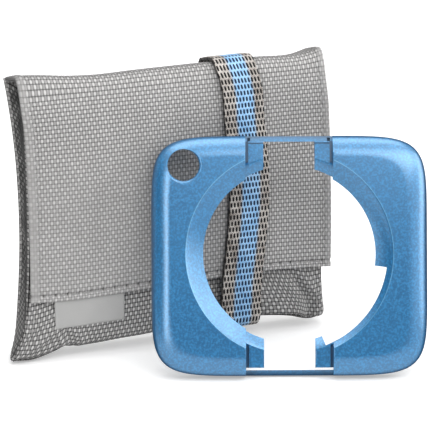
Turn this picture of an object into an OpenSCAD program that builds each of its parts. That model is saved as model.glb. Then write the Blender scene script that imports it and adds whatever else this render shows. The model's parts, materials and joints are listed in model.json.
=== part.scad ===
// Soft carrying pouch with a folding flap and an elastic strap, and the clip-on
// back cover of a small handheld device leaning against it.
// Millimetres. X runs across the pouch, -Y is its front and +Z is up.
// The origin lies on the surface under the middle of the whole set's box.

/* [Pouch] */
// Width of the pocket
body_w = 105; // [90:1:130]
// Thickness of the pocket, front to back
body_t = 14; // [11:0.5:20]
// Height of the back wall's top edge above the surface
back_h = 96.5; // [80:0.5:120]
// How much lower the front wall ends than the back wall
mouth_drop = 3; // [1:0.5:8]
// How far the corner ears hang below the pocket's bottom
ear_drop = 5.5; // [2:0.5:8]
// Width of the ears, where the seams gather
ear_w = 2.5; // [1.5:0.5:4]
// Thickness of the woven outer fabric
fabric_t = 0.9; // [0.6:0.1:1.4]
// Thickness of the foam in the pocket's walls
foam_t = 1.6; // [0.8:0.1:2.5]
// Thickness of the smooth lining
lining_t = 0.4; // [0.3:0.1:0.8]
// Height of the turned edge round the mouth
mouth_hem_h = 8; // [4:0.5:12]

/* [Flap] */
// How far the flap reaches past each side of the pocket
flap_over = 1.5; // [0:0.5:4]
// Height of the flap's lower edge above the surface
hem_z = 22; // [15:0.5:40]
// Thickness of the foam in the flap
flap_foam_t = 0.7; // [0.5:0.1:1.5]
// Height of the flap's turned hem
hem_h = 8; // [4:0.5:14]
// Radius of the fold where the flap turns down, on the outside
fold_r = 4; // [3:0.5:5]

/* [Label] */
// Width of the folded label
label_w = 24.5; // [12:0.5:32]
// Height of the label below the hem
label_h = 9.5; // [5:0.5:11]
// Thickness of the folded label
label_t = 0.9; // [0.6:0.1:1]
// Distance from the flap's left edge to the label
label_inset = 9.8; // [6:0.2:20]

/* [Strap] */
// Width of the elastic strap
strap_w = 14; // [8:0.5:20]
// Thickness of the elastic strap
strap_t = 1.3; // [0.8:0.1:2]
// Distance from the pouch's middle to the strap's middle
strap_x = 22.2; // [5:0.1:28]
// Height of the overlap where the strap's ends are joined
join_h = 14; // [8:1:20]

/* [Cover] */
// Width of the cover
cover_w = 91.6; // [80:0.2:110]
// Height of the cover
cover_h = 79.6; // [70:0.1:96]
// Depth of the cover, face to back rim
cover_d = 10; // [9:0.5:13]
// Wall of the cover
cover_wall = 1.8; // [1.4:0.1:2.4]
// Squareness of the cover's outline, as a superellipse exponent
outline_power = 6.75; // [4:0.25:8]
// Width of the rounded edge band, seen face on
edge_in = 6.6; // [4:0.2:8]
// Depth of the rounded edge band
edge_deep = 5; // [3:0.5:6]
// Width left between the round opening and the cover's nearest side
opening_in = 5.4; // [5:0.1:9]
// Width of the opening's dished lip
lip_w = 5.8; // [4:0.2:8]
// Depth of the lip's inner edge behind the face
lip_deep = 4; // [3:0.5:5]
// Height of the opening's centre above the cover's centre
opening_rise = 0.6; // [0:0.1:2]
// Half width of the cut-outs above and below the opening
notch_half_w = 14.5; // [12:0.5:18]
// Height of the back rim that bridges each cut-out
bridge_h = 3; // [2:0.5:4]
// Radius of the small round hole in the corner
hole_r = 5.3; // [3:0.1:6.4]
// Distance from the cover's left edge to the small hole's centre
hole_in_x = 10.8; // [10:0.2:14]
// Distance from the cover's top edge to the small hole's centre
hole_in_y = 9.6; // [9:0.2:13]

/* [Placing] */
// Turn of the cover about the vertical
cover_yaw = 20; // [5:0.5:30]
// Lean of the cover against the flap
cover_lean = 19; // [10:0.5:25]
// Distance from the pouch's middle to the cover's middle
cover_x = 25.5; // [15:0.5:35]
// Gap between pieces that move past each other
fit_gap = 0.3; // [0.3:0.05:0.5]
// Gap between the pouch and the strap that slides round it
strap_gap = 0.6; // [0.5:0.05:1]

/* [Hidden] */
$fn = 48;
EPS = 0.01;

// one stitch of the sewing thread: length, pitch, width and how proud it lies
stitch_l = 3.2;
stitch_pitch = 4;
stitch_w = 0.5;
stitch_t = 0.25;
seam_in = 3;        // seam's distance from the edge that it follows
foam_in = 1.5;      // how far the foam stops short of the side walls
top_run_in = 3;     // how far the foam and lining stop short of the flap's edges
join_in = 0.7;      // how far the strap's overlap is narrower than the strap
join_z = 42;        // lower edge of the strap's overlap

// pocket
front_y = -body_t / 2;
back_y = body_t / 2;
side_x = body_w / 2;
front_h = back_h - mouth_drop;
floor_z = ear_drop + fabric_t;
wall_t = fabric_t + foam_t + lining_t;

// flap, as offsets outwards from the pocket's front and top
lining_from = fit_gap;
lining_to = lining_from + lining_t;
flap_foam_to = lining_to + flap_foam_t;
flap_to = flap_foam_to + fabric_t;
flap_front_y = front_y - flap_to;
flap_top_z = back_h + flap_to;
flap_half_w = side_x + flap_over;
label_left = -flap_half_w + label_inset;

// strap, inside faces of its loop
strap_front_y = flap_front_y - strap_gap;
strap_back_y = back_y + strap_gap;
strap_top_z = flap_top_z + strap_gap;
strap_low_z = ear_drop - strap_gap;
strap_fold_r = fold_r + strap_gap;
strap_turn_r = strap_gap + fit_gap;     // round the pouch's square corners
strap_left = strap_x - strap_w / 2;

// cover, lying face up with its face at z = 0
RING_STEPS = 48;
EDGE_STEPS = 6;
LIP_STEPS = 6;
opening_r = min(cover_w, cover_h) / 2 - opening_in;
lip_t = 1.6;
lip_curve = 1.75;   // how steeply the lip falls towards its inner edge
tab_deep = 2.3;     // how far the tabs lie behind the face
tab_t = 1.5;
tab_w = 6;
tab_in = 1.5;       // how much further in the tabs end than the opening
tab_lip_w = 3.6;    // lip below the tabs: width and fall
tab_lip_drop = 2.2;
tab_edge_in = 2.7;
tab_r = opening_r - tab_in;
riser_t = 1.5;
cutback_in = 1.8;   // lip that is left where it is cut back, and the angles between
cutback_from = -68.5;
cutback_to = -8;
cutback_steps = 5;
collar_wall = 1.5;
collar_deep = 4;
lug_l = 8;
lug_proud = 0.9;
lug_t = 1.2;
lug_back = 0.5;

function signed_root(c, p) = sign(c) * pow(abs(c), 2 / p);
function ring(half_w, half_h, z) = [for (i = [0 : RING_STEPS - 1])
    let (t = 360 * i / RING_STEPS)
    [half_w * signed_root(cos(t), outline_power), half_h * signed_root(sin(t), outline_power), z]];
// rings from the back rim up the side and over the rounded edge to the face,
// drawn in by the wall for the hollow
function edge_ring(k, wall) =
    let (turn = 90 * k / EDGE_STEPS, in = wall + edge_in * (1 - cos(turn)))
    ring(cover_w / 2 - in, cover_h / 2 - in, -wall - (edge_deep - wall / 2) * (1 - sin(turn)));
function shell_rings(wall, back) = concat(
    [ring(cover_w / 2 - wall, cover_h / 2 - wall, -back)],
    [for (k = [0 : EDGE_STEPS]) edge_ring(k, wall)]);

// the cover's points where it stands: leaning back, then turned
function stood(p) = [
    p.x,
    p.y * sin(cover_lean) - p.z * cos(cover_lean),
    p.y * cos(cover_lean) + p.z * sin(cover_lean)];
function turned(p) = [
    p.x * cos(cover_yaw) + p.y * sin(cover_yaw),
    p.y * cos(cover_yaw) - p.x * sin(cover_yaw),
    p.z];
cover_points = [for (r = shell_rings(0, cover_d)) for (p = r) turned(stood(p))];
cover_y = flap_front_y - fit_gap - max([for (p = cover_points) p.y]);
cover_z = -min([for (p = cover_points) p.z]);

// middle of the whole set's box
join_back_y = strap_back_y + 2 * strap_t + stitch_t;
set_x = (max(flap_half_w, cover_x + max([for (p = cover_points) p.x]))
    + min(-flap_half_w, cover_x + min([for (p = cover_points) p.x]))) / 2;
set_y = (join_back_y + cover_y + min([for (p = cover_points) p.y])) / 2;

// ---- placing and shared shapes ----

module placed() {
    translate([-set_x, -set_y, 0]) children();
}

// a box given by its lowest and highest corners
module span(low, high) {
    translate(low) cube(high - low);
}

// a profile in (Y, Z) run along X
module along_x(from, to) {
    translate([from, 0, 0]) rotate([90, 0, 90]) linear_extrude(to - from) children();
}

module stitches_up(x, y, from, to) {
    for (z = [from : stitch_pitch : to - stitch_l])
        span([x - stitch_w / 2, y, z], [x + stitch_w / 2, y + stitch_t, z + stitch_l]);
}

module stitches_across(z, y, from, to) {
    for (x = [from : stitch_pitch : to - stitch_l])
        span([x, y, z - stitch_w / 2], [x + stitch_l, y + stitch_t, z + stitch_w / 2]);
}

// ---- pocket ----

module back_panel() {
    color("darkgray") placed()
        span([-side_x, back_y - fabric_t, ear_drop], [side_x, back_y, back_h]);
}

module front_panel() {
    color("darkgray") placed()
        span([-side_x, front_y, ear_drop], [side_x, front_y + fabric_t, front_h]);
}

module bottom_panel() {
    color("gray") placed()
        span([-side_x + fabric_t, front_y + fabric_t, ear_drop],
            [side_x - fabric_t, back_y - fabric_t, floor_z]);
}

// side wall, whose lower end hangs as an ear below the bottom
module gusset(side) {
    low_x = side < 0 ? -side_x : side_x - fabric_t;
    ear_x = side < 0 ? -side_x : side_x - ear_w;
    span([low_x, front_y + fabric_t, 0], [low_x + fabric_t, back_y - fabric_t, front_h]);
    span([ear_x, front_y + fabric_t, 0], [ear_x + ear_w, back_y - fabric_t, ear_drop]);
}

module left_gusset() {
    color("dimgray") placed() gusset(-1);
}

module right_gusset() {
    color("dimgray") placed() gusset(1);
}

module wall_layer(y, t, top) {
    span([-side_x + fabric_t + foam_in, y, floor_z], [side_x - fabric_t - foam_in, y + t, top]);
}

module foam_front() {
    color("white") placed() wall_layer(front_y + fabric_t, foam_t, front_h - 1);
}

module foam_back() {
    color("white") placed() wall_layer(back_y - fabric_t - foam_t, foam_t, front_h - 1);
}

module lining_front() {
    color("lightgray") placed() wall_layer(front_y + fabric_t + foam_t, lining_t, front_h - 1);
}

module lining_back() {
    color("lightgray") placed() wall_layer(back_y - wall_t, lining_t, front_h - 1);
}

// the front wall's edge turned in over the lining
module mouth_hem() {
    color("gray") placed() {
        span([-side_x + fabric_t + foam_in, front_y + wall_t, front_h - mouth_hem_h],
            [side_x - fabric_t - foam_in, front_y + wall_t + fabric_t, front_h]);
        span([-side_x + fabric_t + foam_in, front_y + fabric_t, front_h - 1],
            [side_x - fabric_t - foam_in, front_y + wall_t + EPS, front_h]);
    }
}

// seam down a side: the whole back, and the part of the front below the flap
module side_seam(side) {
    x = side * (side_x - seam_in);
    stitches_up(x, back_y, ear_drop + 1, back_h - 2);
    stitches_up(x, front_y - stitch_t, ear_drop + 1, hem_z - stitch_pitch);
}

module left_seam_thread() {
    color("silver") placed() side_seam(-1);
}

module right_seam_thread() {
    color("silver") placed() side_seam(1);
}

// ---- flap ----

// everything under an offset from the pocket, with the front top corner rounded
module under(out, r, low, back) {
    front = front_y - out;
    top = back_h + out;
    translate([front + r, low]) square([back - front - r, top - low]);
    translate([front, low]) square([r + EPS, top - r - low]);
    translate([front + r, top - r]) circle(r);
}

// one layer of the flap between two offsets, down to a lower edge
module flap_layer(from, to, low, half_w) {
    along_x(-half_w, half_w) difference() {
        under(to, fold_r - flap_to + to, low, back_y);
        under(from, fold_r - flap_to + from, low - 1, back_y + 1);
    }
}

module flap_panel() {
    color("darkgray") placed() flap_layer(flap_foam_to, flap_to, hem_z, flap_half_w);
}

module flap_foam() {
    color("white") placed()
        flap_layer(lining_to, flap_foam_to, hem_z + hem_h, flap_half_w - top_run_in);
}

module flap_lining() {
    color("lightgray") placed()
        flap_layer(lining_from, lining_to, hem_z + hem_h / 2, flap_half_w - top_run_in);
}

// the flap's lower edge turned up inside it
module flap_hem() {
    color("gray") placed()
        span([-flap_half_w + top_run_in, front_y - flap_foam_to, hem_z],
            [flap_half_w - top_run_in, front_y - lining_to, hem_z + hem_h]);
}

module flap_hem_thread() {
    color("silver") placed()
        stitches_across(hem_z + seam_in - 0.5, flap_front_y - stitch_t,
            -flap_half_w + seam_in + 1, flap_half_w - seam_in - 1);
}

module flap_left_thread() {
    color("silver") placed()
        stitches_up(-flap_half_w + seam_in, flap_front_y - stitch_t, hem_z + 1, back_h - fold_r);
}

module flap_right_thread() {
    color("silver") placed()
        stitches_up(flap_half_w - seam_in, flap_front_y - stitch_t, hem_z + 1, back_h - fold_r);
}

// folded label, held in the hem and hanging below it
module label_tag() {
    color("gainsboro") placed()
        span([label_left, front_y - lining_from - label_t, hem_z - label_h],
            [label_left + label_w, front_y - lining_from, hem_z]);
}

// ---- strap ----

// outline in (Y, Z) at an offset from the loop's inner faces: the front top
// corner follows the flap's fold, and the others the pouch's square corners
module loop_profile(out) {
    low = [strap_front_y - out, strap_low_z - out];
    high = [strap_back_y + out, strap_top_z + out];
    turn_r = strap_turn_r + out;
    top_r = strap_fold_r + out;
    difference() {
        translate(low) square(high - low);
        translate([low.x - 1, low.y - 1]) square(turn_r + 1);
        translate([high.x - turn_r, low.y - 1]) square(turn_r + 1);
        translate([high.x - turn_r, high.y - turn_r]) square(turn_r + 1);
        translate([low.x - 1, high.y - top_r]) square(top_r + 1);
    }
    translate([low.x + turn_r, low.y + turn_r]) circle(turn_r);
    translate([high.x - turn_r, low.y + turn_r]) circle(turn_r);
    translate([high.x - turn_r, high.y - turn_r]) circle(turn_r);
    translate([low.x + top_r, high.y - top_r]) circle(top_r);
}

module strap_band() {
    color("lightsteelblue") placed()
        along_x(strap_left, strap_left + strap_w) difference() {
            loop_profile(strap_t);
            loop_profile(0);
        }
}

// the strap's end laid over its start
module strap_join() {
    y = strap_back_y + strap_t;
    color("slategray") placed()
        span([strap_left + join_in, y, join_z],
            [strap_left + strap_w - join_in, y + strap_t, join_z + join_h]);
}

module strap_join_thread() {
    y = strap_back_y + 2 * strap_t;
    color("silver") placed()
        for (z = [join_z + 2, join_z + join_h - 2])
            stitches_across(z, y, strap_left + join_in + 1, strap_left + strap_w - join_in);
}

// ---- cover ----

module lofted(rings) {
    n = RING_STEPS;
    m = len(rings);
    polyhedron(
        points = [for (r = rings) for (p = r) p],
        faces = concat(
            [[for (i = [0 : n - 1]) i]],
            [[for (i = [n - 1 : -1 : 0]) (m - 1) * n + i]],
            [for (k = [0 : m - 2]) for (i = [0 : n - 1]) [k * n + i, (k + 1) * n + i, (k + 1) * n + (i + 1) % n]],
            [for (k = [0 : m - 2]) for (i = [0 : n - 1]) [k * n + i, (k + 1) * n + (i + 1) % n, k * n + (i + 1) % n]]));
}

module at_opening() {
    translate([0, opening_rise, 0]) children();
}

module hole_place() {
    translate([hole_in_x - cover_w / 2, cover_h / 2 - hole_in_y, 0]) children();
}

// the moulded skin: outside less hollow, with the face cut for the opening
module cover_skin() {
    difference() {
        lofted(shell_rings(0, cover_d));
        lofted(shell_rings(cover_wall, cover_d + 1));
        at_opening() translate([0, 0, -lip_deep]) cylinder(r = opening_r, h = lip_deep + 1);
    }
}

// ring with a dished face, which falls from its outer edge to its inner edge
module dished_ring(outer, w, drop) {
    shares = [for (k = [0 : LIP_STEPS]) k / LIP_STEPS];
    rotate_extrude() polygon(concat(
        [for (s = shares) [outer - w * (1 - s), -drop * pow(1 - s, lip_curve)]],
        [[outer + lip_t, 0]],
        [for (k = [LIP_STEPS : -1 : 0]) let (s = shares[k])
            [outer + lip_t - w * (1 - s), -drop * pow(1 - s, lip_curve) - lip_t * s]]));
}

module lip() {
    at_opening() dished_ring(opening_r, lip_w, lip_deep);
}

// the lip is narrower from the right side down to the lower right tab
module lip_cutback() {
    step = (cutback_to - cutback_from) / cutback_steps;
    at_opening() translate([0, 0, -lip_deep - 1]) linear_extrude(lip_deep + 2)
        intersection() {
            circle(opening_r - cutback_in);
            polygon(concat([[0, 0]], [for (k = [0 : cutback_steps])
                let (a = cutback_from + k * step)
                [2 * opening_r * cos(a), 2 * opening_r * sin(a)]]));
        }
}

// each cut-out takes the face and the rounded edge but leaves the back rim
module notches() {
    for (s = [-1, 1])
        translate([-notch_half_w, s < 0 ? -cover_h : 0, bridge_h - cover_d])
            cube([2 * notch_half_w, cover_h, cover_d]);
}

// drawn in one corner and mirrored to another
module mirrored(sx, sy) {
    mirror([sx < 0 ? 1 : 0, 0, 0]) mirror([0, sy < 0 ? 1 : 0, 0]) children();
}

module four_corners() {
    for (sx = [-1, 1])
        for (sy = [-1, 1])
            mirrored(sx, sy) children();
}

// recessed tabs at the four corners of the cut-outs, with the step up to the face
module tabs() {
    reach = cover_h / 2 - tab_edge_in;
    difference() {
        four_corners() {
            span([notch_half_w - tab_w, 0, -tab_deep - tab_t],
                [notch_half_w + riser_t, reach, -tab_deep]);
            span([notch_half_w, 0, -tab_deep - EPS],
                [notch_half_w + riser_t, reach, -cover_wall / 2]);
        }
        at_opening() translate([0, 0, -cover_d]) cylinder(r = tab_r, h = 2 * cover_d);
    }
}

// the lip goes on below the tabs, set back as they are
module tab_lips() {
    intersection() {
        at_opening() translate([0, 0, -tab_deep]) dished_ring(tab_r, tab_lip_w, tab_lip_drop);
        four_corners()
            span([notch_half_w - tab_w, 0, -cover_d], [notch_half_w + riser_t, cover_h, 0]);
    }
}

// wall round the small hole, inside the skin
module collar() {
    intersection() {
        hole_place() translate([0, 0, -collar_deep])
            cylinder(r = hole_r + collar_wall, h = collar_deep - cover_wall / 2);
        lofted(shell_rings(0, cover_d));
    }
}

// moulded lugs inside the rim that clip over the device
module lugs() {
    for (sx = [-1, 1])
        for (y = [-cover_h / 4, cover_h / 4])
            mirrored(sx, 1)
                translate([cover_w / 2 - cover_wall - lug_proud, y - lug_l / 2, lug_back - cover_d])
                    cube([lug_proud + cover_wall / 2, lug_l, lug_t]);
}

module cover_shell() {
    color("steelblue") placed()
        translate([cover_x, cover_y, cover_z])
        rotate([0, 0, -cover_yaw]) rotate([90 - cover_lean, 0, 0])
        difference() {
            union() {
                difference() {
                    union() {
                        cover_skin();
                        lip();
                    }
                    notches();
                }
                tabs();
                tab_lips();
                collar();
                lugs();
            }
            lip_cutback();
            hole_place() translate([0, 0, -cover_d]) cylinder(r = hole_r, h = 2 * cover_d);
        }
}

back_panel();
front_panel();
bottom_panel();
left_gusset();
right_gusset();
foam_front();
foam_back();
lining_front();
lining_back();
mouth_hem();
left_seam_thread();
right_seam_thread();
flap_panel();
flap_foam();
flap_lining();
flap_hem();
flap_hem_thread();
flap_left_thread();
flap_right_thread();
label_tag();
strap_band();
strap_join();
strap_join_thread();
cover_shell();
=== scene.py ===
"""Looks of a soft pouch with an elastic strap and a clip-on cover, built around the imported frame.

Sizes in this file are millimetres unless a name says otherwise; meshes are written in metres.
"""

import json
import math

import bmesh
import bpy
import numpy as np
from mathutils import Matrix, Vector


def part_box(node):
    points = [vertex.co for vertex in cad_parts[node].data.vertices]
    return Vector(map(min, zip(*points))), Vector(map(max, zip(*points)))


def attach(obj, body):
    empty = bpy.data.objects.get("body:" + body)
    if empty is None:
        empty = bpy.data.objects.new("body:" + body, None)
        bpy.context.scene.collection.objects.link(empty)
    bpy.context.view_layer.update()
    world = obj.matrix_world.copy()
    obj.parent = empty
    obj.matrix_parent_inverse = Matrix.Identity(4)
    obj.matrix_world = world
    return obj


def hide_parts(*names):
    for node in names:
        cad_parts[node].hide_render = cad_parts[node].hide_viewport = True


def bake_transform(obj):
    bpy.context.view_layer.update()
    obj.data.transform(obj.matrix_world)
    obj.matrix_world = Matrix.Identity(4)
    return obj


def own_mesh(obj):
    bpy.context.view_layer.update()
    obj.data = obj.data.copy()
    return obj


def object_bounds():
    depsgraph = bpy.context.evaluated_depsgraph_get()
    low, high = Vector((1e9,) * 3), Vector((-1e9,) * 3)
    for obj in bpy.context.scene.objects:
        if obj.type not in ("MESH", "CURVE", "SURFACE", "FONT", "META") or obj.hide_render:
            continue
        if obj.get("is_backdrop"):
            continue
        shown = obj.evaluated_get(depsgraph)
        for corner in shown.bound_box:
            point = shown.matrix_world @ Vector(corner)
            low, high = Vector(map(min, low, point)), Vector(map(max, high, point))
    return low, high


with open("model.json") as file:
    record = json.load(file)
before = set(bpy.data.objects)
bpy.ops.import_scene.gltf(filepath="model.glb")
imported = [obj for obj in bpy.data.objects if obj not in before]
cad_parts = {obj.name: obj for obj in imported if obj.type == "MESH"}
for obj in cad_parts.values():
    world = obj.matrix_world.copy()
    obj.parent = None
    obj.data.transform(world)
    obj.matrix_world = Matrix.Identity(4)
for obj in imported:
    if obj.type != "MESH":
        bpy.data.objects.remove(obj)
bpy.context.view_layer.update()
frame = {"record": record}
MM = 0.001


# ---- small helpers ----


def node_box(node):
    """The low and high corner of a piece of the CAD model."""
    low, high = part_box(node)
    return np.array(low) / MM, np.array(high) / MM


def step(a, b, x):
    """0 before a, 1 after b (either order), smooth between."""
    t = np.clip((np.asarray(x, float) - a) / (b - a), 0, 1)
    return t * t * (3 - 2 * t)


def bump(x, mid, width):
    return np.exp(-(((x - mid) / width) ** 2))


def curve(knots):
    """A smooth curve through (x, value) knots, flat beyond its ends."""
    xs, ys = np.array(knots, float).T
    slope = np.gradient(ys, xs)

    def at(x):
        x = np.clip(x, xs[0], xs[-1])
        k = np.clip(np.searchsorted(xs, x) - 1, 0, len(xs) - 2)
        h = xs[k + 1] - xs[k]
        t = (x - xs[k]) / h
        a, b = ys[k], ys[k + 1]
        start = a * (1 + 2 * t) * (1 - t) ** 2 + slope[k] * h * t * (1 - t) ** 2
        return start + b * t * t * (3 - 2 * t) + slope[k + 1] * h * t * t * (t - 1)

    return at


def ripple(x, y, seed, size=18.0, count=7):
    """Gentle unevenness from -1 to 1, the same on every run."""
    rng = np.random.default_rng(seed)
    total = np.zeros(np.broadcast(x, y).shape)
    for _ in range(count):
        turn, phase = rng.uniform(0, 2 * math.pi, 2)
        length = size * rng.uniform(0.6, 1.8)
        total += np.sin((x * math.cos(turn) + y * math.sin(turn)) * 2 * math.pi / length + phase)
    return total / count * 1.6


# ---- mesh building ----


def quads(nu, nv, start=0, flip=False, wrap_u=False, wrap_v=False):
    """Faces of a grid of nu by nv vertices, which may close on itself in either direction."""
    i, j = np.meshgrid(np.arange(nu - (not wrap_u)), np.arange(nv - (not wrap_v)), indexing="ij")
    i2, j2 = (i + 1) % nu, (j + 1) % nv
    q = np.stack([i * nv + j, i2 * nv + j, i2 * nv + j2, i * nv + j2], -1).reshape(-1, 4) + start
    return q[:, ::-1] if flip else q


def border(us, vs):
    """Vertex numbers round a grid, with their places on its four sides."""
    nu, nv = len(us), len(vs)
    fu, fv = us / us[-1], vs / vs[-1]
    number = [i * nv for i in range(nu - 1)]
    place = list(fu[:-1])
    number += [(nu - 1) * nv + j for j in range(nv - 1)]
    place += list(1 + fv[:-1])
    number += [i * nv + nv - 1 for i in range(nu - 1, 0, -1)]
    place += list(3 - fu[:0:-1])
    number += list(range(nv - 1, 0, -1))
    place += list(4 - fv[:0:-1])
    return number, place


def joined_rims(outer, inner, shift):
    """Triangles between the rims of an outer and an inner grid of different fineness."""
    (a, pa), (b, pb) = outer, inner
    a, pa = a + a[:1], list(pa) + [4]
    b, pb = [n + shift for n in b + b[:1]], list(pb) + [4]
    faces, i, j = [], 0, 0
    while i < len(a) - 1 or j < len(b) - 1:
        if j == len(b) - 1 or (i < len(a) - 1 and pa[i + 1] <= pb[j + 1]):
            faces.append((a[i + 1], a[i], b[j]))
            i += 1
        else:
            faces.append((a[i], b[j], b[j + 1]))
            j += 1
    return faces


def make(name, points, faces, material, uv=None, values=None, sharp=None):
    """A piece from points in millimetres; uv and values are given per point."""
    mesh = bpy.data.meshes.new(name)
    mesh.from_pydata((np.asarray(points) * MM).tolist(), [], [list(map(int, f)) for f in faces])
    if uv is not None:
        layer = mesh.uv_layers.new(name="cloth")
        loop_vertex = np.empty(len(mesh.loops), np.int32)
        mesh.loops.foreach_get("vertex_index", loop_vertex)
        layer.data.foreach_set("uv", np.asarray(uv, np.float32)[loop_vertex].ravel())
    for key, value in (values or {}).items():
        attribute = mesh.attributes.new(key, "FLOAT", "POINT")
        attribute.data.foreach_set("value", np.asarray(value, np.float32))
    mesh.shade_smooth()
    if sharp:
        mesh.set_sharp_from_angle(angle=math.radians(sharp))
    mesh.materials.append(material)
    mesh.update()
    obj = bpy.data.objects.new(name, mesh)
    bpy.context.scene.collection.objects.link(obj)
    return obj


def normals(grid_points):
    du, dv = np.gradient(grid_points, axis=(0, 1))
    n = np.cross(du, dv)
    return n / np.maximum(np.linalg.norm(n, axis=-1, keepdims=True), 1e-9)


def lattice(size, cell, per_cell):
    """Sample places that line up with a whole number of cells, and the cell size that fits."""
    count = max(1, round(size / cell))
    fitted = size / count
    inside = (np.arange(count * per_cell) + 0.5) * fitted / per_cell
    return np.concatenate([[0], inside, [size]]), fitted


def weave(u, v):
    """Height of a plain weave: yarn along v stands up in one cell, yarn along u lies in the next."""
    s = np.sin(math.pi * u) * np.sin(math.pi * v)
    return -0.35 + np.maximum(s, 0) ** 0.75 + 0.4 * np.maximum(-s, 0) ** 0.75


class Cloth:
    """A sheet of cloth: a fine outer face with its weave, a plain inner face, and a closed rim.

    The weave's softness and the painted light and shade are numbers, or functions of (u, v), that the woven
    materials read at each point; the painted shading lightens or darkens the colour.
    """

    def __init__(self, name, shape, size, cell, relief, thick, material, roll=1.0, fine=(3, 4),
                 extra=lambda u, v: 0 * u, painted_shading=1.0, soft=0.0, coarse=3.0, coarse_from=None):
        self.size = size
        self.us, cell_u = lattice(size[0], cell[0], fine[0])
        self.vs, cell_v = lattice(size[1], cell[1], fine[1])
        if coarse_from is not None:
            wide, _ = lattice(size[1], cell_v, 2)
            self.vs = np.concatenate([self.vs[self.vs < coarse_from], wide[wide >= coarse_from + 0.2]])
        u, v = np.meshgrid(self.us, self.vs, indexing="ij")
        p = shape(u, v)
        self.normal = normals(p)
        edge = np.minimum(np.minimum(u, size[0] - u), np.minimum(v, size[1] - v))
        inset = np.clip(1 - edge / roll, 0, 1)
        lift = relief * weave(u / cell_u, v / cell_v) * (1 - inset) + extra(u, v)
        drop = (1 - np.sqrt(np.maximum(1 - inset**2, 0))) * thick * 0.55
        self.points = p + self.normal * (lift - drop)[..., None]
        u2s, v2s = (np.linspace(0, side, max(3, round(side / coarse) + 1)) for side in size)
        u2, v2 = np.meshgrid(u2s, v2s, indexing="ij")
        q = shape(u2, v2)
        q = q + normals(q) * extra(u2, v2)[..., None] * 0.5
        on_rim = np.zeros(u2.shape)
        on_rim[[0, -1], :] = on_rim[:, [0, -1]] = 1
        q = q - normals(q) * (thick * (1 - 0.35 * on_rim))[..., None]
        n = u.size
        faces = [*quads(*u.shape), *quads(*u2.shape, start=n, flip=True),
                 *joined_rims(border(self.us, self.vs), border(u2s, v2s), n)]
        grids = ((u, v), (u2, v2))
        uv = np.concatenate([np.stack([a / cell_u, b / cell_v], -1).reshape(-1, 2) for a, b in grids])
        looks = {}
        for key, look in (("soft", soft), ("painted_shading", painted_shading)):
            parts = [look(a, b) if callable(look) else np.full(a.shape, look) for a, b in grids]
            looks[key] = np.concatenate([part.ravel() for part in parts])
        points = np.concatenate([self.points.reshape(-1, 3), q.reshape(-1, 3)])
        self.object = make(name, points, faces, material, uv, looks)

    def at(self, u, v):
        """The point and normal of the outer face at a place on the cloth."""
        i = int(np.abs(self.us - u).argmin())
        j = int(np.abs(self.vs - v).argmin())
        return self.points[i, j], self.normal[i, j]


def stitches(name, rows, along, length, radius, lift):
    """Short threads on cloth, with their ends drawn down into it; rows holds (cloth, places) pairs."""
    points, faces, uv = [], [], []
    ring, steps = 8, 9
    du, dv = (length / 2, 0) if along == "u" else (0, length / 2)
    for cloth, u, v in [(cloth, *place) for cloth, places in rows for place in places]:
        c, n = cloth.at(u, v)
        a, _ = cloth.at(u - du, v - dv)
        b, _ = cloth.at(u + du, v + dv)
        d = (b - a) / np.linalg.norm(b - a)
        side = np.cross(n, d)
        start = len(points)
        for t in np.linspace(-1, 1, steps):
            r = radius * math.sqrt(max(1 - t**8, 0.02))
            centre = c + d * t * length / 2 + n * (lift + 0.12 * (1 - t * t) - 0.45 * abs(t) ** 5)
            for m in range(ring):
                w = 2 * math.pi * m / ring
                points.append(centre + side * math.cos(w) * r * 1.1 + n * math.sin(w) * r)
                uv.append((t * length, m / ring))
        faces += quads(steps, ring, start, wrap_v=True).tolist()
        faces += [range(start, start + ring), range(len(points) - ring, len(points))]
    obj = make(name, points, faces, THREAD, uv)
    fix_normals(obj.data)
    return obj


def fix_normals(mesh):
    """Turns all faces outwards."""
    b = bmesh.new()
    b.from_mesh(mesh)
    bmesh.ops.recalc_face_normals(b, faces=b.faces)
    b.to_mesh(mesh)
    b.free()


# ---- materials ----


def plug(tree, slot, value):
    """Gives an input a number, a colour, a socket or a Value."""
    if isinstance(value, Value):
        value = value.socket
    if isinstance(value, bpy.types.NodeSocket):
        tree.links.new(value, slot)
    else:
        slot.default_value = (*value, 1.0) if isinstance(value, tuple) else value


class Value:
    """A number in a node tree, so that a pattern can be written as a formula."""

    def __init__(self, tree, socket):
        self.tree, self.socket = tree, socket

    def of(self, operation, *others, clamp=False):
        node = self.tree.nodes.new("ShaderNodeMath")
        node.operation, node.use_clamp = operation, clamp
        for slot, value in zip(node.inputs, (self, *others)):
            plug(self.tree, slot, value)
        return Value(self.tree, node.outputs[0])

    def __add__(self, other):
        return self.of("ADD", other)

    def __sub__(self, other):
        return self.of("SUBTRACT", other)

    def __mul__(self, other):
        return self.of("MULTIPLY", other)

    def __truediv__(self, other):
        return self.of("DIVIDE", other)

    def __neg__(self):
        return self.of("MULTIPLY", -1.0)

    def clamped(self):
        return self.of("ADD", 0.0, clamp=True)

    def step(self, low, high):
        node = self.tree.nodes.new("ShaderNodeMapRange")
        node.interpolation_type = "SMOOTHSTEP"
        for slot, value in zip(node.inputs, (self, low, high)):
            plug(self.tree, slot, value)
        return Value(self.tree, node.outputs[0])


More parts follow.
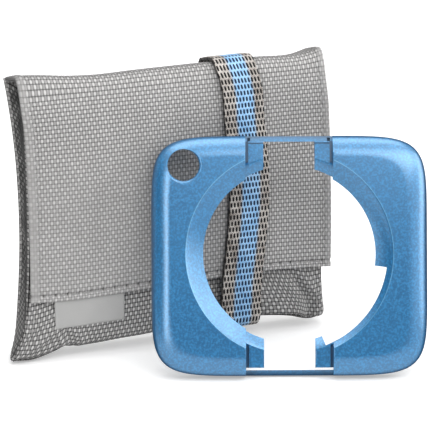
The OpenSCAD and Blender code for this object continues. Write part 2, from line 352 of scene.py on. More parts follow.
class Nodes:
    """A node tree, with the nodes that its patterns are made from."""

    def __init__(self, tree):
        self.tree = tree

    def node(self, kind, *ordered, **named):
        """A new node, whose inputs are given in their order or by name."""
        node = self.tree.nodes.new(kind)
        for slot, value in zip(node.inputs, ordered):
            plug(self.tree, slot, value)
        for key, value in named.items():
            plug(self.tree, node.inputs[key.replace("_", " ").title()], value)
        return node

    def value(self, kind, *ordered, output=0, **named):
        return Value(self.tree, self.node(kind, *ordered, **named).outputs[output])

    def split(self, vector):
        return [Value(self.tree, part) for part in self.node("ShaderNodeSeparateXYZ", vector).outputs]

    def vector(self, x, y):
        return self.node("ShaderNodeCombineXYZ", x, y).outputs[0]

    def uv(self):
        return self.split(self.node("ShaderNodeUVMap").outputs[0])[:2]

    def place(self):
        """The position on the object, in metres."""
        return self.node("ShaderNodeTexCoord").outputs["Object"]

    def attribute(self, name):
        node = self.node("ShaderNodeAttribute")
        node.attribute_name = name
        return Value(self.tree, node.outputs["Fac"])

    def noise(self, vector, scale, detail=2.0):
        return self.value("ShaderNodeTexNoise", vector=vector, scale=scale, detail=detail)

    def random(self, x, y):
        """A fixed random number for each whole place."""
        return self.value("ShaderNodeTexWhiteNoise", vector=self.vector(x, y))

    def mix(self, share, a, b):
        """A colour between a and b."""
        node = self.tree.nodes.new("ShaderNodeMix")
        node.data_type = "RGBA"
        for number, value in ((0, share), (6, a), (7, b)):
            plug(self.tree, node.inputs[number], value)
        return node.outputs[2]

    def ray(self, kind):
        """1 for rays of a kind, such as Camera or Glossy, and 0 for others."""
        return self.value("ShaderNodeLightPath", output=f"Is {kind} Ray")

    def emission(self, strength):
        return self.node("ShaderNodeEmission", strength=strength).outputs[0]


class Material(Nodes):
    """A principled material, whose sockets are given by name."""

    def __init__(self, name, **sockets):
        self.made = bpy.data.materials.new(name)
        self.made.use_nodes = True
        super().__init__(self.made.node_tree)
        self.shader = self.tree.nodes["Principled BSDF"]
        for key, value in sockets.items():
            plug(self.tree, self.shader.inputs[key.replace("_", " ").title().replace("Ior", "IOR")], value)

    def finish(self, colour, roughness, height, distance_mm, strength):
        """Plugs in the patterns of colour, roughness and bump height, and gives the material."""
        bumped = self.node("ShaderNodeBump", height=height, strength=strength, distance=distance_mm * MM)
        for name, value in (("Base Color", colour), ("Roughness", roughness), ("Normal", bumped.outputs[0])):
            plug(self.tree, self.shader.inputs[name], value)
        return self.made


def woven(name, dark, low, high, fibre=0.10):
    """Plain woven yarn. The uv map counts cells; 'soft' fades the weave and the painted shading attribute
    lightens or darkens it to paint light and shade.
    """
    m = Material(name, specular_ior_level=0.32, sheen_weight=0.12, sheen_roughness=0.45)
    u, v = m.uv()
    s = (u * math.pi).of("SINE") * (v * math.pi).of("SINE")
    up = s.step(0.02, 0.75)
    gap = s.of("ABSOLUTE").step(0.0, 0.34)
    soft = m.attribute("soft") * 0.75
    along_v = (u * 41.0 + m.noise(m.vector(u * 3.0, v * 0.6), 1.0) * 9.0).of("SINE")
    along_u = (v * 55.0 + m.noise(m.vector(u * 0.6, v * 3.0), 1.0) * 9.0).of("SINE")
    fibres = along_v * up + along_u * (-up + 1.0)
    yarn = m.random(u.of("FLOOR"), v.of("FLOOR")) - 0.5
    column = m.random(u.of("FLOOR"), 0.0) - 0.5
    broad = m.noise(m.place(), 60.0, 3.0) - 0.5
    share = up * (-soft + 1.0) + yarn * 0.26 + fibres * fibre + broad * 0.22 + column * 0.10
    depth = (gap + soft).of("MINIMUM", 1.0)
    # the colour is scaled by the painted shading attribute, which paints light and shade into it
    colour_with_painted_shading = m.node("ShaderNodeVectorMath", m.mix(depth, dark, m.mix(share.clamped(), low, high)))
    colour_with_painted_shading.operation = "SCALE"
    plug(m.tree, colour_with_painted_shading.inputs["Scale"], m.attribute("painted_shading"))
    rough = up * -0.10 + yarn * 0.12 + 0.77
    return m.finish(colour_with_painted_shading.outputs[0], rough, gap * 0.5 + up * 0.4 + fibres * 0.10, 0.10, 0.7)


def smooth_cloth(name, low, high):
    """Fine cloth such as a lining, with about two threads to a cell."""
    m = Material(name, specular_ior_level=0.3, sheen_weight=0.1, sheen_roughness=0.4)
    u, v = m.uv()
    fine = (u * 4.4 * math.pi).of("SINE") * (v * 4.4 * math.pi).of("SINE")
    broad = m.noise(m.place(), 90.0, 3.0)
    return m.finish(m.mix((fine * 0.22 + broad).clamped(), low, high), broad * 0.2 + 0.6, fine, 0.04, 0.6)


def satin_cloth(name):
    """Satin of the label: fine floats across it, a soft gloss."""
    m = Material(name, specular_ior_level=0.5, sheen_weight=0.25, sheen_roughness=0.3, anisotropic=0.5)
    u, v = m.uv()
    floats = m.noise(m.vector(u * 2.2, (v * 40.0).of("FLOOR") * 1.7), 2.0)
    rows = (v * 40.0 * math.pi).of("SINE").of("ABSOLUTE")
    share = floats * 0.5 + rows * 0.22 + m.noise(m.place(), 120.0) * 0.3
    colour = m.mix(share.clamped(), (0.27, 0.268, 0.264), (0.47, 0.467, 0.46))
    return m.finish(colour, floats * 0.25 + 0.32, rows * 0.5 + floats, 0.03, 0.6)


def sewing_thread(name):
    """Two-ply sewing thread: slanting plies along the stitch."""
    m = Material(name, specular_ior_level=0.4, sheen_weight=0.2, sheen_roughness=0.4)
    u, v = m.uv()
    ply = (u * 9.0 + v * 4 * math.pi).of("SINE")
    broad = m.noise(m.place(), 700.0)
    colour = m.mix((ply * 0.35 + broad).clamped(), (0.20, 0.197, 0.193), (0.42, 0.415, 0.41))
    return m.finish(colour, broad * 0.3 + 0.4, ply, 0.06, 0.8)


SLOT_ROW = 2.2       # length of one row of the elastic's slots
SLOT_COLUMNS = 12
SLOT_WIDE, SLOT_LONG = 0.30, 0.385     # half sizes of a slot, as shares of a column and a row
SLOT_SLANT = 0.12


def slot_depth(column, row):
    """How far a place on the elastic lies in one of its slots, 0 to 1; both are counted in slots."""
    k = np.floor(row)
    y = row - k - 0.5
    x = (column + 0.5 * (k % 2) + SLOT_SLANT * y) % 1 - 0.5
    return 1 - step(0.5, 1.3, (x / SLOT_WIDE) ** 2 + (y / SLOT_LONG) ** 4)


def elastic(name):
    """Woven elastic: ribs with slots between them in brick order, pale blue in the middle band, and a shadow
    painted dark along its left edge.
    """
    m = Material(name, specular_ior_level=0.4, sheen_weight=0.15, sheen_roughness=0.4)
    u, v = m.uv()
    row = v.of("FLOOR")
    y = v - row - 0.5
    x = (u + row.of("MODULO", 2.0).of("ABSOLUTE") * 0.5 + y * SLOT_SLANT + 1.0).of("FRACT") - 0.5
    across = (x / SLOT_WIDE).of("ABSOLUTE").of("POWER", 2.0)
    d = across + (y / SLOT_LONG).of("ABSOLUTE").of("POWER", 4.0)
    # the slots, and a painted shadow: the columns along the left edge are painted dark like the slots
    slot = (-d.step(0.6, 1.35) + 1.0).of("MAXIMUM", u.step(0.26, 0.0) * 0.9)
    yarn = m.random((u + 0.5).of("FLOOR"), (v * 2.0).of("FLOOR")) - 0.5
    twist = (v * 6.0 * math.pi + u * 3.0 * math.pi).of("SINE")
    share = (twist * 0.22 + yarn * 0.5 + m.noise(m.place(), 200.0)).clamped()
    blue = -(u - SLOT_COLUMNS / 2 - 0.45).of("ABSOLUTE").step(2.0, 3.3) + 1.0
    grey_yarn = m.mix(share, (0.19, 0.165, 0.145), (0.60, 0.565, 0.53))
    blue_yarn = m.mix(share, (0.17, 0.38, 0.66), (0.40, 0.64, 0.90))
    holes = m.mix(blue, (0.006, 0.005, 0.005), (0.008, 0.025, 0.07))
    colour = m.mix(slot, m.mix(blue, grey_yarn, blue_yarn), holes)
    return m.finish(colour, slot * 0.3 + 0.5, twist * 0.3 - slot, 0.10, 0.6)


def satin_plastic(name):
    """Blue moulded plastic with a fine metallic satin finish; the 'wall' attribute paints shade into it as a
    deeper blue, and the highlight attribute paints a paler blue highlight into it.
    """
    m = Material(name, metallic=0.25, ior=1.9, specular_ior_level=1.0, specular_tint=(0.82, 0.97, 1.0))
    place = m.place()
    grain = m.noise(place, 1450.0, 1.0)
    share = grain.step(0.36, 0.72) * 0.75 + m.noise(place, 45.0) * 0.25
    blue = m.mix(share.clamped(), (0.001, 0.112, 0.29), (0.010, 0.235, 0.54))
    # painted shade: a deeper blue where 'wall' is set
    deep = m.mix(m.attribute("wall") * 0.9, blue, (0.002, 0.040, 0.12))
    # painted highlight: a paler blue where the highlight attribute is set
    colour = m.mix(m.attribute("painted_highlight") * 0.6, deep, (0.20, 0.52, 0.78))
    return m.finish(colour, grain * 0.08 + m.noise(place, 900.0) * 0.04 + 0.25, grain, 0.006, 0.3)


NYLON = woven("woven_nylon", (0.080, 0.078, 0.077), (0.285, 0.28, 0.276), (0.52, 0.513, 0.507))
NYLON_BODY = woven("woven_nylon_body", (0.035, 0.034, 0.034), (0.22, 0.217, 0.214),
                   (0.54, 0.533, 0.525), fibre=0.12)
COARSE = woven("coarse_nylon", (0.010, 0.010, 0.010), (0.105, 0.103, 0.101), (0.40, 0.395, 0.387),
               fibre=0.12)
LINING = smooth_cloth("lining", (0.10, 0.10, 0.105), (0.17, 0.17, 0.18))
SATIN = satin_cloth("satin_label")
THREAD = sewing_thread("thread")
ELASTIC = elastic("strap_elastic")
PLASTIC = satin_plastic("blue_plastic")


# ---- where the frame's pieces are ----

back_low, back_high = node_box("back_panel")
front_low, front_high = node_box("front_panel")
flap_low, flap_high = node_box("flap_panel")
label_low, label_high = node_box("label_tag")
mouth_low, mouth_high = node_box("mouth_hem")
strap_low, strap_high = node_box("strap_band")
join_low, join_high = node_box("strap_join")

BODY_L, BODY_R = back_low[0], back_high[0]
BODY_W = BODY_R - BODY_L
FRONT_Y, BACK_Y = front_low[1], back_high[1]
FLOOR_Z = back_low[2]
MOUTH_Z, BACK_TOP = front_high[2], back_high[2]
FLAP_L, FLAP_R = flap_low[0], flap_high[0]
FLAP_W = FLAP_R - FLAP_L
FLAP_Y, FLAP_HEM, FLAP_TOP = flap_low[1], flap_low[2], flap_high[2]


def lean(z):
    """The pouch leans a little to its left towards the top."""
    return -2.5 * (np.clip(z, 0, 110) / 98) ** 3


# ---- flap ----

CREST_Y = FLAP_Y + 3.8
REAR_Z = BACK_TOP - 2.3
FOLD_Z = FLAP_TOP - 6.0
FALL, TURN = 3.3, 1.4          # the top falls this much towards the back; TURN is how deep it turns down
REAR_DEEP = BACK_Y - TURN - CREST_Y
FOLD_DEEP = CREST_Y - FLAP_Y

crest_line = curve([(-68, 2.5), (-61, 1.8), (-54.6, 1.2), (-46, 0.1), (-37, -0.55), (-20, -0.4), (-8, -0.35),
                    (20, -0.25), (38.5, -0.2), (44, 1.3)])


def crest(x):
    """Height of the flap's top at x."""
    return FLAP_TOP + crest_line(x)


def rear_line(x):
    """Height at x where the flap's top has reached the back wall."""
    return REAR_Z + 0.85 * np.maximum(crest_line(x) + 0.3, 0)


def quarter(a, b):
    """Length of a quarter of an ellipse with half axes a and b."""
    h = ((a - b) / (a + b)) ** 2
    return math.pi * (a + b) * (1 + 3 * h / (10 + math.sqrt(4 - 3 * h))) / 4


# lengths of the flap's cloth from its back edge: the turn, the rear slope, the fold and the drop to the hem
LEVEL_TOP = FLAP_TOP - 0.3
TURN_L = quarter(TURN, LEVEL_TOP - FALL - REAR_Z)
REAR_L = TURN_L + math.hypot(REAR_DEEP, FALL)
FOLD_L = quarter(FOLD_DEEP, LEVEL_TOP - FOLD_Z)
DROP_L = FOLD_Z - FLAP_HEM
FLAP_L_TOTAL = REAR_L + FOLD_L + DROP_L

hem_line = curve([(-66, 0.4), (-60, 0.1), (-52, -0.2), (-31, 0.2), (-21, 0.6), (0, 1.3), (20, 1.8), (34, 1.2),
                  (44, 0.5)])


def flap_shape(u, v):
    """Outer face of the flap: v runs from the back edge over the top to the hem, u from right to left."""
    # the weave is a little finer on the right
    x = FLAP_R - u * (0.885 + 0.115 * u / FLAP_W)
    top = crest(x)
    turn = np.clip(v / TURN_L, 0, 1) * math.pi / 2
    slope = np.clip((REAR_L - v) / (REAR_L - TURN_L), 0, 1)
    fold = np.clip((v - REAR_L) / FOLD_L, 0, 1) * math.pi / 2
    drop = np.clip((v - REAR_L - FOLD_L) / DROP_L, 0, 1)
    low = rear_line(x)
    y = np.where(v < REAR_L, CREST_Y + REAR_DEEP * slope, CREST_Y - FOLD_DEEP * np.sin(fold))
    z = np.where(v < REAR_L, top - FALL * slope**1.25, FOLD_Z + (top - FOLD_Z) * np.cos(fold))
    y = np.where(v < TURN_L, BACK_Y - TURN * (1 - np.cos(turn)), y)
    z = np.where(v < TURN_L, low + (top - FALL - low) * np.sin(turn), z)
    hem = FLAP_HEM + hem_line(x)
    z = np.where(drop > 0, FOLD_Z + (hem - FOLD_Z) * drop, z)
    # a soft belly, which stays thin where the strap slides
    room = 1 - step(-24, -12, x) * (1 - step(40, 44, x))
    belly = 0.25 * ripple(x, z, 3, 26) + room * (0.5 * np.sin(math.pi * drop) + 0.35 * ripple(x, z, 5, 34))
    y = y - belly * np.sin(math.pi * drop) ** 0.5
    aside = (0.8 * step(-35, -62, x) + 0.6 * step(25, 42, x)) * (1 - step(80, 96, z))
    return np.stack([x + lean(z) + aside, y, z], -1)


STITCH_PITCH = 4.0
HEM_STITCH_IN = 2.5
SIDE_STITCH_IN = 3.0


def stitch_phase(along):
    """1 at a seam's needle holes and -1 between them."""
    return np.cos(2 * math.pi * along / STITCH_PITCH)


def flap_detail(u, v):
    """Puffed hem and turned sides, pinched at the stitches."""
    from_hem = FLAP_L_TOTAL - v
    from_side = np.minimum(u, FLAP_W - u)
    phase = stitch_phase(u - 4)
    pinch = -(0.22 + 0.28 * np.maximum(phase, 0) ** 6) * bump(from_hem, HEM_STITCH_IN, 0.65)
    puff = 0.22 * (1 - 0.35 * phase) * bump(from_hem, 1.2, 0.9) + 0.12 * bump(from_hem, 4.1, 1.2)
    side = -0.16 * bump(from_side, SIDE_STITCH_IN, 0.6) + 0.14 * bump(from_side, 1.6, 1.0)
    holes = -0.8 * np.maximum(phase, 0) ** 24 * bump(from_hem, HEM_STITCH_IN, 0.42)
    return pinch + puff + side * step(4, 9, from_hem) * step(6, 12, v) + holes


def flap_soft(u, v):
    """The turned edges show less of the weave."""
    from_side = np.minimum(u, FLAP_W - u)
    worn = 0.08 + 0.34 * step(28, 60, v) * step(25, 60, u)
    return 0.55 * (1 - step(1.6, 3.2, from_side)) + worn


def flap_painted_shading(u, v):
    """Painted light and shade: shade painted over the top, at the back of its left end, along the stitch
    lines and in the needle holes, a painted highlight on the puffed hem and on the roll below the top, and a
    little lighter low on the front and at the turned sides.
    """
    from_side = np.minimum(u, FLAP_W - u)
    from_hem = FLAP_L_TOTAL - v
    phase = stitch_phase(u - 4)
    # painted shade along the side stitch lines
    painted_shading = 1.0 + 0.03 * (1 - step(1.2, 2.8, from_side)) - 0.10 * bump(from_side, SIDE_STITCH_IN, 0.5)
    # shade painted where the cloth runs over the top, and a painted highlight on the roll below it
    painted_shading = painted_shading - 0.34 * (1 - step(REAR_L - 1, REAR_L + 3.2, v)) + 0.10 * bump(v, REAR_L + FOLD_L + 1.5, 5)
    # painted shade at the back of the left end
    painted_shading = painted_shading - 0.35 * (1 - step(0, REAR_L + 1, v)) * step(5, 0, FLAP_W - u) + 0.06 * step(60, 85, v)
    # painted highlight on the puffed hem, painted shade in the hem's stitch line and needle holes
    painted_shading = painted_shading + 0.16 * bump(from_hem, 1.2, 1.0) - 0.18 * bump(from_hem, HEM_STITCH_IN, 0.5)
    painted_shading = painted_shading - 0.8 * np.maximum(phase, 0) ** 16 * bump(from_hem, HEM_STITCH_IN, 0.5)
    return painted_shading


WEAVE_CELL = (0.935, 1.43)
BODY_CELL = (0.86, 1.45)
COARSE_CELL = (1.1, 1.5)
LINING_CELL = (1.5, 1.5)
RELIEF = 0.13
FLAP_T, WALL_T, LINING_T = 1.55, 2.5, 0.3      # the flap's and the walls' thickness counts their foam

flap = Cloth("flap_outer", flap_shape, (FLAP_W, FLAP_L_TOTAL), WEAVE_CELL, RELIEF, FLAP_T, NYLON, roll=1.1,
             extra=flap_detail, soft=flap_soft, painted_shading=flap_painted_shading)

INSET = 3.0                  # the flap's lining and turned hem end this far inside its edges
LINING_END = 5.0
HEM_W = 7.7


def under_flap(from_v, depth):
    """A face inside the flap, which starts at a place along it; u runs from left to right."""

    def shape(u, v):
        p = flap_shape(FLAP_W - INSET - u, v + from_v)
        return p + normals(p) * depth

    return shape


INNER_SIZE = (FLAP_W - 2 * INSET, FLAP_L_TOTAL - INSET - LINING_END)
flap_inner = Cloth("flap_inner", under_flap(INSET, 1.75), INNER_SIZE, (1.0, 1.0), 0.0, LINING_T, LINING,
                   roll=0.6, fine=(1, 1))
# the turned hem inside the flap has shade painted in, a tenth darker
flap_hem = Cloth("flap_turned_hem", under_flap(FLAP_L_TOTAL - HEM_W - 0.3, 2.05), (INNER_SIZE[0], HEM_W),
                 WEAVE_CELL, 0.05, LINING_T, NYLON, roll=0.5, fine=(2, 2), painted_shading=0.9)

hem_places = [(u, FLAP_L_TOTAL - HEM_STITCH_IN) for u in np.arange(6, FLAP_W - 5, STITCH_PITCH)]
hem_thread = stitches("flap_hem_stitches", [(flap, hem_places)], "u", length=2.8, radius=0.25, lift=-0.10)
side_vs = np.arange(REAR_L + FOLD_L + 2, FLAP_L_TOTAL - 6, STITCH_PITCH)
left_thread, right_thread = (
    stitches(name, [(flap, [(u, v) for v in side_vs])], "v", length=3.0, radius=0.22, lift=-0.12)
    for name, u in (("flap_left_stitches", FLAP_W - SIDE_STITCH_IN), ("flap_right_stitches", SIDE_STITCH_IN)))


# ---- label ----

LABEL_W = label_high[0] - label_low[0]
LABEL_DEEP = label_high[1] - label_low[1]
LABEL_TURN = math.pi * LABEL_DEEP / 2 * 0.9
LABEL_DOWN = label_high[2] - label_low[2] + 1.5      # its ends are sewn 1.5 mm deep into the hem
LABEL_LONG = 2 * LABEL_DOWN + LABEL_TURN


def label_shape(u, v):
    """A ribbon folded at its bottom: down the front, round, and up the back."""
    half = LABEL_DEEP / 2
    s = np.clip((v - LABEL_DOWN) / LABEL_TURN, 0, 1) * math.pi
    up = np.maximum(LABEL_DOWN - v, 0) + np.maximum(v - LABEL_DOWN - LABEL_TURN, 0)
    z = label_low[2] + half + up - half * np.sin(s)
    wave = 0.12 * np.sin(u * 0.55 + z * 0.2) * step(label_high[2], label_low[2], z)
    y = label_low[1] + half - half * 0.92 * np.cos(s) + wave
    x = label_low[0] + LABEL_W - u - 0.012 * (z - label_high[2])
    tilt = (x - label_low[0]) * 0.03 - 0.75
    return np.stack([x - 0.35, y, z + tilt], -1)


label = Cloth("label", label_shape, (LABEL_W, LABEL_LONG), (1.0, 1.0), 0.0, 0.28, SATIN, roll=0.25,
              fine=(2, 3), coarse=1.5)

# ---- pocket ----

BACK_IN = 0.45
SETTLING_ROUNDS = 3


def side_front(z, side):
    """X of the seam between the front and a side, which runs out into an ear at the bottom."""
    if side < 0:
        out = np.maximum(z, 2.0)
        rounded = 2.4 * np.clip((2.0 - z) / 2.0, 0, 1) ** 1.6
        return BODY_L - 0.15 + lean(z) * 0.9 - 6.1 * np.exp(-out / 9) - 2.2 * np.exp(-out / 25) + rounded
    return BODY_R - 0.35 + lean(z) * 0.9 + 2.3 * np.exp(-z / 9) - 1.2 * np.clip((4.5 - z) / 2.0, 0, 1) ** 1.6


def side_back(z, side):
    """X of the seam between the back and a side; it moves outwards towards both ends."""
    flare = 0.0012 * (z - 50) ** 2
    return (BODY_L if side < 0 else BODY_R) - side * BACK_IN + side * flare + lean(z)


front_bottom = curve([(-70, 1.3), (-66, 1.0), (-62, 0.9), (-58, 1.8), (-53.8, 3.1), (-50, 4.5), (-45.9, 3.7),
                      (-40.8, 3.8), (-27.9, 4.6), (-21.4, 4.9), (-14, 5.7), (-8, 6.2), (0, 6.3), (17.7, 6.5),
                      (30, 4.9), (38.3, 3.1), (43.5, 4.0)])
back_bottom = curve([(-70, 0.9), (-64, 1.2), (-60, 2.2), (-50, 4.4), (-20, 5.9), (-8, 6.4), (0, 6.5),
                     (20, 6.6), (38, 6.4), (41, 5.4), (43.5, 4.0)])
# x of the gathers above the bottom's right end, by height
gather = curve([(0, 37.8), (4.1, 37.6), (8.8, 37.6), (12.6, 36.6), (16.5, 33.8), (22, 31.0), (30, 27.0)])
FRONT_H = MOUTH_Z - FLOOR_Z + 1.0


def front_shape(u, v):
    """Outer face of the pocket's front wall: u from left to right, v from the bottom to the mouth."""
    share = u / BODY_W
    x = BODY_L - 0.5 + share * (BODY_W + 0.5)
    # the seams depend on the height and the height on x, so x settles in a few rounds
    for _ in range(SETTLING_ROUNDS):
        z = front_bottom(x) + (MOUTH_Z - front_bottom(x)) * v / FRONT_H
        left, right = side_front(z, -1), side_front(z, 1)
        x = left + (right - left) * share
    # the cloth is drawn to the right as it nears the gathers
    x = x + 5.5 * (1 - step(6, 24, z)) * bump(x, 25.5, 8.0)
    low = 1 - step(15, 26, z)
    belly = np.sin(math.pi * np.clip(z / 24, 0, 1)) ** 0.8 * np.sin(math.pi * share) ** 0.25
    y = FRONT_Y + 0.35 - 1.15 * low * belly
    y = y + 1.6 * (1 - step(0, 2.6, z - front_bottom(x)))
    fold = x - gather(z)
    y = y + low * (1.5 * bump(fold, 0, 1.7) - 0.9 * bump(fold, 3.0, 2.2) - 0.5 * bump(fold, -4.0, 3.0))
    wave = np.sin((x + 0.7 * z) * 2 * math.pi / 7.0) * bump(x, -50, 7.5) * bump(z, 7.5, 5.0)
    wave = wave + 0.7 * np.sin((x - 1.3 * z) * 2 * math.pi / 9.0) * bump(x, -60, 6) * bump(z, 8, 6)
    y = y - 0.75 * wave - 0.35 * low * ripple(x, z, 11, 15)
    return np.stack([x, y, z], -1)


def seam_painted_shade(u, v):
    """Painted shade in the seams at the wall's sides and bottom."""
    edge = np.minimum(u, BODY_W - u)
    return 1.0 - 0.30 * (1 - step(0.2, 1.6, edge)) - 0.12 * (1 - step(0, 1.5, v))


def seam_pinch(u, v):
    """The wall is pinched by the stitches along its sides."""
    from_side = np.minimum(u, BODY_W - u)
    pinch = (-0.18 - 0.1 * stitch_phase(v)) * bump(from_side, SIDE_STITCH_IN, 0.6)
    return pinch + 0.15 * bump(from_side, 1.5, 1.0)


pocket_front = Cloth("pocket_front", front_shape, (BODY_W, FRONT_H), BODY_CELL, 0.15, WALL_T, NYLON_BODY,
                     roll=1.3, extra=seam_pinch, coarse_from=27.0, painted_shading=seam_painted_shade)

BACK_H = BACK_TOP - FLOOR_Z


def back_shape(u, v):
    """Outer face of the back wall: u from right to left, v from the bottom up to where the flap begins."""
    share = 1 - u / BODY_W
    x = BODY_L + share * BODY_W
    for _ in range(SETTLING_ROUNDS):
        z = back_bottom(x) + (rear_line(x) + 0.6 - back_bottom(x)) * v / BACK_H
        left, right = side_back(z, -1), side_back(z, 1)
        x = left + (right - left) * share
    y = BACK_Y - 0.15 + 0.32 * np.sin(math.pi * np.clip(z / 96, 0, 1)) * ripple(x, z, 21, 40)
    y = y - 1.2 * (1 - step(0, 2.6, z - back_bottom(x)))
    return np.stack([x, y, z], -1)


pocket_back = Cloth("pocket_back", back_shape, (BODY_W, BACK_H), WEAVE_CELL, RELIEF, WALL_T, NYLON, roll=1.3,
                    extra=seam_pinch, painted_shading=seam_painted_shade)


def make_side(name, side):
    """A side wall from the front seam to the back seam, drawn in along its middle."""
    wide, tall = BACK_Y - FRONT_Y - 1.0, MOUTH_Z - 0.7

    def shape(u, v):
        across = np.clip(u / wide if side > 0 else 1 - u / wide, 0, 1)
        base = (0.25 if side < 0 else 3.3) + 1.0 * (1 - across) ** 3 + 1.3 * across**3
        top = MOUTH_Z - 0.5 + (rear_line(BODY_L if side < 0 else BODY_R) - 0.5 - MOUTH_Z + 0.5) * across
        z = base + (top - base) * v / tall
        xf, xb = side_front(z, side), side_back(z, side)
        waist = 1.1 * step(6, 20, z) - 0.9 * (1 - step(2, 12, z))
        x = xf + (xb - xf) * across - side * waist * np.sin(math.pi * across) ** 0.8 - side * 0.2
        x = x + side * 0.6 * np.sin(math.pi * across) * ripple(z, across * 14, 31 + side, 17) * step(6, 20, z)
        y = FRONT_Y + 0.5 + wide * across
        y = y + (1 - step(0, 2.6, z - base)) * (1.7 * (1 - across) ** 2 - 1.2 * across**2)
        return np.stack([x, y, z], -1)

    # painted shade on the side: darker overall, much darker under the flap's overhang from 14 mm up and
    # towards the front seam, in ragged patches
    def painted_shading(u, v):
        across = u / wide if side > 0 else 1 - u / wide
        shaded = step(14, 30, v)
        ragged_shade = 0.22 * ripple(v, across * 12, 61 + side, 9) + 0.16 * ripple(v, across * 12, 63 + side, 4)
        return np.clip(0.78 - shaded * (0.55 * (1 - step(0.4, 0.8, across)) + 0.27 - ragged_shade), 0.05, 1.1)

    return Cloth(name, shape, (wide, tall), COARSE_CELL, 0.2, 0.8, COARSE, roll=0.7, coarse=2.0, painted_shading=painted_shading)


side_left = make_side("side_left", -1)
side_right = make_side("side_right", 1)


BOTTOM_DEEP = BACK_Y - FRONT_Y - 3.0


def bottom_shape(u, v):
    """The bottom, seen from below: u from left to right, v from the back to the front."""
    share, across = u / BODY_W, v / BOTTOM_DEEP
    left_back, left_front = side_back(2.0, -1) + 0.8, side_front(1.6, -1) + 0.5
    right_back, right_front = side_back(4.0, 1) - 0.8, side_front(4.5, 1) - 0.8
    left = left_back + (left_front - left_back) * across
    right = right_back + (right_front - right_back) * across
    x = left + (right - left) * share
    z = back_bottom(x) + (front_bottom(x) - back_bottom(x)) * across**4 + 0.25
    sag = 0.3 - 0.3 * bump(x, 10, 16) + 1.1 * bump(x, -57, 8)
    hang = np.sin(math.pi * across) * step(0.0, 0.06, share) * (1 - step(0.96, 1, share))
    z = np.maximum(z - sag * hang, 0.1)
    y = BACK_Y - 1.5 - BOTTOM_DEEP * across
    return np.stack([x, y, z], -1)


# the bottom has shade painted in, a fifth darker
pocket_bottom = Cloth("pocket_bottom", bottom_shape, (BODY_W, BOTTOM_DEEP), BODY_CELL, 0.12, 0.8, NYLON_BODY,
                      roll=0.5, fine=(2, 2), painted_shading=0.8)


def make_lining(name, node, facing):
    """A lining on a wall inside the pocket; facing is -1 towards the front and 1 towards the back."""
    low, high = node_box(node)
    wide, tall = high[0] - low[0], high[2] - low[2]
    at_y = high[1] if facing > 0 else low[1]

    def shape(u, v):
        x = low[0] + (u if facing < 0 else wide - u)
        z = low[2] + v
        return np.stack([x + lean(z), at_y + 0.25 * ripple(x, z, 41, 24) * np.sin(math.pi * v / tall), z], -1)

    return Cloth(name, shape, (wide, tall), LINING_CELL, 0.0, 0.35, LINING, roll=0.5, fine=(1, 1))


lining_front = make_lining("pocket_lining_front", "lining_front", 1)
lining_back = make_lining("pocket_lining_back", "lining_back", -1)

BIND_DEEP = mouth_high[1] - mouth_low[1]
BIND_H = mouth_high[2] - mouth_low[2]
BIND_TURN = math.pi * BIND_DEEP / 2


def binding_shape(u, v):
    """The front wall's edge turned over the lining: up the front a little, over, and down inside."""
    half = BIND_DEEP / 2
    x = mouth_low[0] + u
    s = np.clip((v - 1.0) / BIND_TURN, 0, 1) * math.pi
    top = mouth_high[2] - 0.7 * half
    z = top + 0.7 * half * np.sin(s) - np.maximum(1 - v, 0) - np.maximum(v - 1 - BIND_TURN, 0)
    y = mouth_low[1] + half - half * np.cos(s)
    return np.stack([x + lean(z), y, z], -1)


BIND_SIZE = (mouth_high[0] - mouth_low[0], 1 + BIND_TURN + BIND_H - 1.5)
# the binding has a little shade painted in
binding = Cloth("mouth_binding", binding_shape, BIND_SIZE, BODY_CELL, 0.08, 0.6, NYLON_BODY, roll=0.5,
                fine=(2, 2), painted_shading=0.95)


def seam_stitches(name, side):
    """The seam's stitches down the front wall, as far as it shows, and down the back wall."""
    rows = []
    for cloth, at_start, top in ((pocket_front, side < 0, 16.0), (pocket_back, side > 0, BACK_H - 3)):
        u = SIDE_STITCH_IN if at_start else BODY_W - SIDE_STITCH_IN
        rows.append((cloth, [(u, v) for v in np.arange(6.5, top, STITCH_PITCH)]))
    return stitches(name, rows, "v", length=2.8, radius=0.2, lift=-0.14)


left_seam = seam_stitches("seam_stitches_left", -1)
right_seam = seam_stitches("seam_stitches_right", 1)

# ---- strap ----

STRAP_T = 1.3
STRAP_W = strap_high[0] - strap_low[0]
STRAP_MID = (strap_low[0] + strap_high[0]) / 2
STRAP_FRONT = strap_low[1] + STRAP_T
STRAP_BACK = strap_high[1] - STRAP_T
STRAP_LOW = strap_low[2] + STRAP_T + 0.9
STRAP_TOP = FLAP_TOP + 0.1
LOW_TURN = 3.4                  # radius of the loop's lower corners
REAR_TURN = (1.4, 2.0)          # depth and height of its upper rear corner
STEPS_PER_ROW, STEPS_PER_COLUMN = 6, 4


def arc(centre, start, end, count):
    """A quarter of an ellipse from start to end, without its first point."""
    c, a, b = (np.array(point, float) for point in (centre, start, end))
    k = np.linspace(0, math.pi / 2, count)[1:, None]
    return c + (a - c) * np.cos(k) + (b - c) * np.sin(k)


